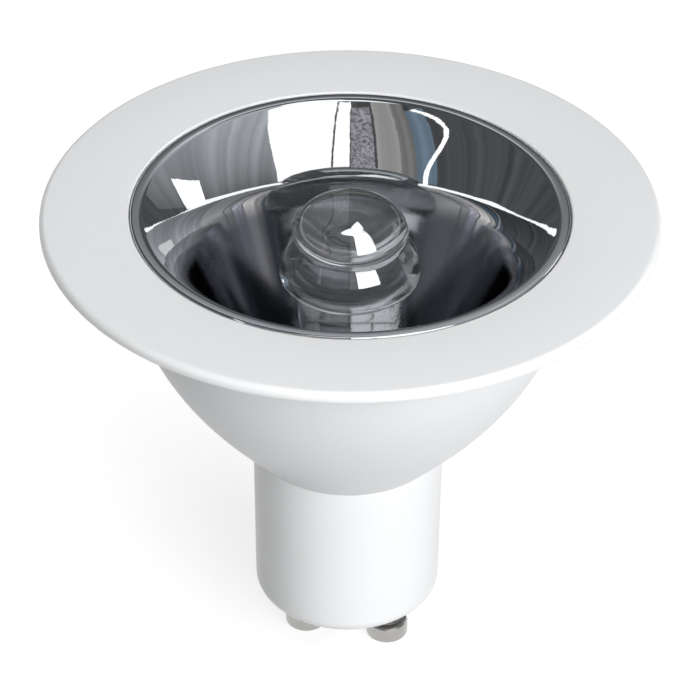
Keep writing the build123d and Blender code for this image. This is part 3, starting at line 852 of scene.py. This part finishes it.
def shank(place):
    """Below the heads."""
    return 1 - place.along("Z").over(screw_top - screw_head_height)


dress("board_screws", "zinc_steel", zinc_dull, zinc_bright, blotch=1.2, roughness=0.3, grain=0.004,
      metal=1.0, marks=[(shank, zinc_shank, 0.45, 1.0)])

# Driver board: glass-fibre laminate under a green solder mask, with copper tracks that show paler through it.
# Its sawn edges are bare.
board_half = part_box("driver_board")[1].x / MM
cut_edge = 0.06
cell_scale = 0.4
track_width = (0.07, 0.10)
mask_green = (0.015, 0.105, 0.045, 1)
mask_light = (0.020, 0.130, 0.055, 1)
track_green = (0.030, 0.190, 0.080, 1)
laminate = (0.45, 0.47, 0.25, 1)


def copper_tracks(place):
    """Lines that run between the parts, as the edges of irregular cells."""
    values = {"Vector": place, "Scale": cell_scale / MM}
    cells = place.node("ShaderNodeTexVoronoi", {"feature": "DISTANCE_TO_EDGE"}, values)
    inner, outer = track_width
    return 1 - cells.node("ShaderNodeMapRange", {}, {"Value": cells, "From Min": inner, "From Max": outer})


def cut_edges(place):
    """The sawn edges, where the pale laminate shows."""
    return place.along("X").size().over(board_half - cut_edge, 0.02)


dress("driver_board", "green_laminate", mask_green, mask_light, blotch=0.6, roughness=0.32, grain=0.008,
      marks=[(copper_tracks, track_green, 0.28, 0.0), (cut_edges, laminate, 0.7, 0.0)])

# Transformer: a pressed and sintered ferrite frame, a moulded black bobbin on its middle leg,
# and a winding under yellow polyester tape whose turns lap over each other.
lap_pitch = 1.1
ferrite_dark = (0.045, 0.045, 0.050, 1)
ferrite_light = (0.090, 0.090, 0.095, 1)
tape_dark = (0.70, 0.46, 0.03, 1)
tape_light = (0.82, 0.60, 0.06, 1)
tape_edge = (0.58, 0.36, 0.02, 1)


def tape_laps(place):
    """The tape's edges, one turn over the next."""
    return (place.along("Z") * (tau / (lap_pitch * MM)) + place.noise(0.2) * 2.0).sine().above(0.9)


dress("transformer_core", "sintered_ferrite", ferrite_dark, ferrite_light,
      blotch=1.5, roughness=0.55, grain=0.02)
dress("transformer_bobbin", "bobbin_moulding", black_plastic, black_worn,
      blotch=1.0, roughness=0.42, grain=0.008)
dress("transformer_winding", "polyester_tape", tape_dark, tape_light, blotch=0.5, roughness=0.3, grain=0.01,
      marks=[(tape_laps, tape_edge, 0.4, 0.0)])

# Capacitors: drawn aluminium cans in a shrunk black sleeve that leaves their tops bare,
# with a pale stripe down the negative side and two tinned leads.
can_lead_length = 1.5
can_bare_top = 0.3
stripe_from, stripe_margin = 1.6, 0.6
sleeve_dark = (0.020, 0.022, 0.030, 1)
sleeve_light = (0.036, 0.038, 0.050, 1)
sleeve_grey = (0.55, 0.56, 0.58, 1)


def dress_can(node):
    """The finish of one can, with its top, leads and stripe found from its box."""
    low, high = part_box(node)
    can_top = high.z / MM
    can_bottom = low.z / MM + can_lead_length
    can_middle = (low.x + high.x) / 2

    def bare_top(place):
        return place.along("Z").over(can_top - can_bare_top)

    def can_leads(place):
        return 1 - place.along("Z").over(can_bottom)

    def stripe(place):
        upright = place.along("Z").within(can_bottom + stripe_margin, can_top - stripe_margin)
        return (place.along("X") - can_middle).over(stripe_from) * upright

    dress(node, f"{node}_sleeve", sleeve_dark, sleeve_light, blotch=0.4, roughness=0.3, grain=0.008, marks=[
        (stripe, sleeve_grey, 0.4, 0.0),
        (bare_top, aluminium, 0.3, 1.0),
        (can_leads, tinned, 0.3, 1.0),
    ])


for node in ("input_capacitor", "output_capacitor"):
    dress_can(node)

# Fuse resistor: a ceramic rod wound with resistance wire under blue-green lacquer,
# with four painted bands and tinned leads.
fuse_half = 3.0
band_width = 0.5
fuse_dark = (0.10, 0.26, 0.22, 1)
fuse_light = (0.15, 0.34, 0.29, 1)
band_brown = (0.25, 0.09, 0.03, 1)
band_black = (0.02, 0.02, 0.02, 1)


def band_mask(start):
    """A painted band that begins at a place along the rod."""
    return lambda place: place.along("X").within(start, start + band_width)


def fuse_leads(place):
    return place.along("X").size().over(fuse_half)


dress("fuse_resistor", "fuse_lacquer", fuse_dark, fuse_light, blotch=1.0, roughness=0.4, grain=0.02, marks=[
    (band_mask(-2.1), band_brown, 0.4, 0.0),
    (band_mask(-1.1), band_black, 0.4, 0.0),
    (band_mask(-0.1), band_black, 0.4, 0.0),
    (band_mask(1.5), gold, 0.35, 1.0),
    (fuse_leads, tinned, 0.3, 1.0),
])

# Chips: black epoxy bodies moulded round a stamped and tinned frame, whose legs come out at two sides.
# Nothing is printed on them.
chip_bodies = {"bridge_rectifier": 3.8, "control_chip": 3.6}


def dress_chip(node, body_width):
    """The finish of one chip, with metal legs outside its body."""
    low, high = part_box(node)
    middle = (low.x + high.x) / 2

    def chip_legs(place):
        return (place.along("X") - middle).size().over(body_width / 2, 0.02)

    legs = (chip_legs, tinned, 0.3, 1.0)
    dress(node, f"{node}_epoxy", black_plastic, black_worn, blotch=1.6, roughness=0.5, grain=0.006,
          marks=[legs])


for node, body_width in chip_bodies.items():
    dress_chip(node, body_width)

# Chip parts: small fired ceramic blocks, pressed and cut from sheet,
# with a tinned cap at each end.
row_low, row_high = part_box("chip_parts")
row_middle = (row_low.z + row_high.z) / 2
block_half = 0.5
ceramic_dark = (0.30, 0.21, 0.13, 1)
ceramic_light = (0.42, 0.31, 0.20, 1)


def end_caps(place):
    return (place.along("Z") - row_middle).size().over(block_half)


dress("chip_parts", "ceramic_blocks", ceramic_dark, ceramic_light, blotch=1.2, roughness=0.5, grain=0.01,
      marks=[(end_caps, tinned, 0.3, 1.0)])

# Leads: stranded wire in soft insulation, stripped and tinned where it goes into the driver board
# and where it lies on the led board's pads. The mains pair is white, and the other two are red and black.
strip_y = 2.4
strip_x = 5.6


def into_board(place):
    """The stripped end that goes through the driver board."""
    return place.along("Y").over(strip_y)


def on_pad(place):
    """The stripped end that lies on the led board."""
    return 1 - place.along("X").size().over(strip_x)


white_lead = (0.72, 0.72, 0.69, 1), (0.80, 0.80, 0.77, 1)
red_lead = (0.42, 0.020, 0.015, 1), (0.56, 0.030, 0.025, 1)
lead_colours = {
    "mains_lead_left": (*white_lead, into_board),
    "mains_lead_right": (*white_lead, into_board),
    "led_lead_negative": (black_plastic, black_worn, on_pad),
    "led_lead_positive": (*red_lead, on_pad),
}
for node, (lead_dark, lead_light, stripped) in lead_colours.items():
    dress(node, f"{node}_insulation", lead_dark, lead_light, blotch=0.7, roughness=0.45, grain=0.01,
          marks=[(stripped, tinned, 0.3, 1.0)])

# Camera: it stands in front of the lamp and above it, and sees the two pins slightly from their right.
# Its place, turn and lens were found from the ring, the mouth, the cap and the pins.
camera_distance = 430.0
camera_elevation = radians(33.654)
camera_side = radians(11.7)
camera_pitch = radians(35.770)
camera_yaw = radians(0.017)
camera_roll = radians(0.565)
camera_target_z = 53.41
camera_lens = 196.35
sensor_width = 36

side_turn = Matrix.Rotation(camera_side, 3, "Z")
camera_place = side_turn @ Vector((
    0,
    -camera_distance * cos(camera_elevation),
    camera_target_z + camera_distance * sin(camera_elevation),
))
looking = side_turn @ Vector((
    sin(camera_yaw) * cos(camera_pitch), cos(camera_yaw) * cos(camera_pitch), -sin(camera_pitch)
))
level_right = looking.cross(Vector((0, 0, 1))).normalized()
level_up = level_right.cross(looking)
camera_right = cos(camera_roll) * level_right + sin(camera_roll) * level_up
camera_up = cos(camera_roll) * level_up - sin(camera_roll) * level_right
camera_data = bpy.data.cameras.new("camera")
camera_data.sensor_width = sensor_width
camera_data.lens = camera_lens
camera_data.clip_end = 20
camera = bpy.data.objects.new("camera", camera_data)
camera.matrix_world = Matrix.Translation(camera_place * MM) @ Matrix(
    (camera_right, camera_up, -looking)
).transposed().to_4x4()
bpy.context.scene.collection.objects.link(camera)
bpy.context.scene.camera = camera

# Floor: a plain white table top under the pins.
# It shows white to the camera, in metal and through the lens, and keeps the lamp's shadow.
floor_size = 6.0
floor_z = pin_bottom
floor_white = (0.42, 0.42, 0.42, 1)
floor_lift = 0.74



def seen_rays(shade):
    """1 where the camera looks, also by a reflection or through the lens, and 0 for what carries light."""
    straight = shade.node("ShaderNodeLightPath", output="Is Camera Ray")
    reflected = shade.node("ShaderNodeLightPath", output="Is Glossy Ray")
    through = shade.node("ShaderNodeLightPath", output="Is Transmission Ray")
    return straight + reflected + through


floor_mesh = bpy.data.meshes.new("floor")
half_floor = floor_size / 2
floor_mesh.from_pydata(
    [(x * half_floor, y * half_floor, floor_z * MM) for x, y in ((-1, -1), (1, -1), (1, 1), (-1, 1))],
    [],
    [(0, 1, 2, 3)],
)
floor = bpy.data.objects.new("floor", floor_mesh)
bpy.context.scene.collection.objects.link(floor)
floor_finish, floor_shader, floor_place = new_finish("table_top")
set_shader(
    floor_shader,
    Base_Color=floor_white,
    Roughness=0.9,
    Emission_Color=seen_rays(floor_place) * floor_lift,
    Emission_Strength=1.0,
)
floor_mesh.materials.append(floor_finish)

# Studio: a dim room that only the metal and the lens see, with bright and dark cards round the lamp.
# Each card is a patch of a ball, placed by its bearing to the right of the camera and its height angle.
# Behind two reflections each has a strength of its own, since little light is left there.
card_distance = 1.5
card_step = 3
glint_strength = 24.0
wave_scale, wave_swing = 9.0, 4
speck_scale, speck_swing = 26.0, 5
grey = (0.92, 0.96, 1.0)
warm_grey = (1.0, 0.98, 0.95)
violet_grey = (0.92, 0.90, 1.0)
cold_blue = (0.58, 0.79, 1.0)
white = (1, 1, 1)


def card_mesh(name, right, height, widen, bow, slant, distance):
    """A patch of a ball between two bearings and two height angles, as a net of faces."""
    columns = max(2, ceil(abs(right[1] - right[0]) / card_step))
    rows = max(2, ceil(abs(height[1] - height[0]) / card_step))
    points = []
    for row in range(rows + 1):
        share = row / rows
        span = right[1] - right[0] + widen * share**2
        for column in range(columns + 1):
            lift = radians(height[0] + (height[1] + slant * column / columns - height[0]) * share)
            bearing = radians(right[0] + span * column / columns + bow * sin(pi * share**3))
            ray = Vector((sin(bearing) * cos(lift), -cos(bearing) * cos(lift), sin(lift)))
            points.append(side_turn @ ray * distance)
    width = columns + 1
    corners = [row * width + column for row in range(rows) for column in range(columns)]
    mesh = bpy.data.meshes.new(name)
    mesh.from_pydata(points, [], [(low, low + 1, low + width + 1, low + width) for low in corners])
    return mesh


def studio_card(name, right, height, colour, strength, deep, low_share=1.0, streaks=0.0, speckle=0.0,
                widen=0.0, bow=0.0, slant=0.0, glint=None, distance=card_distance):
    """A glowing patch that only reflections and the lens see. After two reflections it's as strong as deep
    says for its bottom and top. It can fade downwards, have upright streaks or speckles, widen upwards,
    bow sideways near its top, have a top edge that slants, and be as strong as glint says in polished
    faces."""
    mesh = card_mesh(name, right, height, widen, bow, slant, distance)
    card = bpy.data.objects.new(name, mesh)
    bpy.context.scene.collection.objects.link(card)
    material, shader, place = new_finish(name)
    low_z, high_z = (distance * sin(radians(angle)) for angle in height)
    up = place.along("Z")
    rise = up.node("ShaderNodeMapRange", {}, {"Value": up, "From Min": low_z, "From Max": high_z})
    level = place * (1.0, 1.0, 0.0)
    way = level.node("ShaderNodeVectorMath", {"operation": "NORMALIZE"}, {0: level})
    wave = way.node("ShaderNodeTexNoise", {}, {"Vector": way, "Scale": wave_scale, "Detail": 2.0})
    speck = place.node("ShaderNodeTexNoise", {}, {"Vector": place, "Scale": speck_scale, "Detail": 4.0})
    reflections = place.node("ShaderNodeLightPath", output="Glossy Depth")
    passages = place.node("ShaderNodeLightPath", output="Transmission Depth").above(0.5)
    second = reflections.above(1.5) * (1 - passages)
    polished = place.node("ShaderNodeLightPath", output="Is Singular Ray") * (1 - passages)
    first = polished.between(strength, glint or strength) * rise.between(low_share, 1)
    glow = first + second * (rise.between(*deep) - first)
    glow = glow * (1 + (wave - 0.5) * (wave_swing * streaks) + (speck - 0.5) * (speck_swing * speckle))
    set_shader(
        shader,
        Base_Color=(0, 0, 0, 1),
        Emission_Color=glow.node("ShaderNodeVectorMath", {"operation": "SCALE"}, {0: colour, "Scale": glow}),
        Emission_Strength=1.0,
        Specular_IOR_Level=0.0,
    )
    mesh.materials.append(material)
    card.visible_camera = False
    card.visible_diffuse = False
    card.visible_shadow = False


studio_card("room", (-180, 180), (0, 90), grey, 0.085, (0.12, 0.03), streaks=0.4, distance=2.4)
studio_card("right_softbox", (14, 52), (15, 76), white, 1.3, (0.5, 0.2), widen=29, glint=glint_strength)
studio_card("front_strip", (1, 12.5), (15, 72), white, 1.3, (0.5, 0.1))
studio_card("camera_stand", (-17, 0), (24, 70), violet_grey, 0.30, (0.6, 0.3), speckle=0.7, distance=1.4)
studio_card("front_wall", (-36, -19), (15, 80), warm_grey, 0.34, (1.0, 0.4), streaks=0.2, distance=1.7)
studio_card("front_wall_dark", (-47, -36), (15, 80), warm_grey, 0.20, (0.5, 0.2), streaks=0.4, distance=1.7)
studio_card("blue_strip", (-62, -47), (15, 66), cold_blue, 0.27, (0.2, 0.1), streaks=0.2, distance=1.6)
studio_card("bent_tube", (-55, -51.5), (14, 66), white, 1.5, (0.5, 0.1), bow=-20)
studio_card("right_wall", (50, 142), (12, 85), grey, 0.52, (0.5, 0.1), low_share=0.28, streaks=0.25,
            distance=1.7)
studio_card("back_box", (110, 126), (11, 26), white, 1.5, (0.8, 0.8))
studio_card("back_wall", (142, 200), (31, 56), grey, 0.8, (0.4, 0.4), low_share=0.1)
studio_card("overhead_lamp", (-60, 150), (74, 88), white, 1.3, (0.1, 0.1), glint=glint_strength)
studio_card("table_front", (-108, 108), (2.5, 14), white, 1.2, (0.2, 0.2))
studio_card("table_left", (-157, -108), (2.5, 5.6), white, 1.2, (0.1, 0.1), slant=8.4)
studio_card("table_right", (108, 157), (2.5, 14), white, 1.2, (0.2, 0.2), slant=-9.6)

# Light: a large soft lamp low on the camera's right and one above, with weak ones on the left
# and behind, and an even white world around.
key_power = 16.5
top_power = 6.6
fill_power = 0.3
back_power = 4.0
lamp_size = 0.9
world_level = 0.12


def soft_lamp(name, power, bearing, lift, distance=1.2):
    """A square soft lamp that points at the lamp being shown, seen by nothing but its light."""
    data = bpy.data.lights.new(name, "AREA")
    data.energy = power
    data.size = lamp_size
    lamp = bpy.data.objects.new(name, data)
    way = side_turn @ Vector((sin(bearing) * cos(lift), -cos(bearing) * cos(lift), sin(lift)))
    lamp.location = way * distance
    lamp.rotation_euler = way.to_track_quat("Z", "Y").to_euler()
    lamp.visible_glossy = False
    lamp.visible_transmission = False
    bpy.context.scene.collection.objects.link(lamp)


soft_lamp("key_lamp", key_power, bearing=radians(30), lift=radians(24))
soft_lamp("top_lamp", top_power, bearing=radians(20), lift=radians(78))
soft_lamp("fill_lamp", fill_power, bearing=radians(-50), lift=radians(30))
soft_lamp("back_lamp", back_power, bearing=radians(200), lift=radians(12))

world = bpy.data.worlds.new("studio")
world.use_nodes = True
bpy.context.scene.world = world
world_tree = world.node_tree
background = world_tree.nodes["Background"]
background.inputs["Color"].default_value = (1, 1, 1, 1)
level = seen_rays(Shade(world_tree, None)).between(world_level, 1)
world_tree.links.new(level.socket, background.inputs["Strength"])
bpy.context.scene.view_settings.view_transform = "Standard"
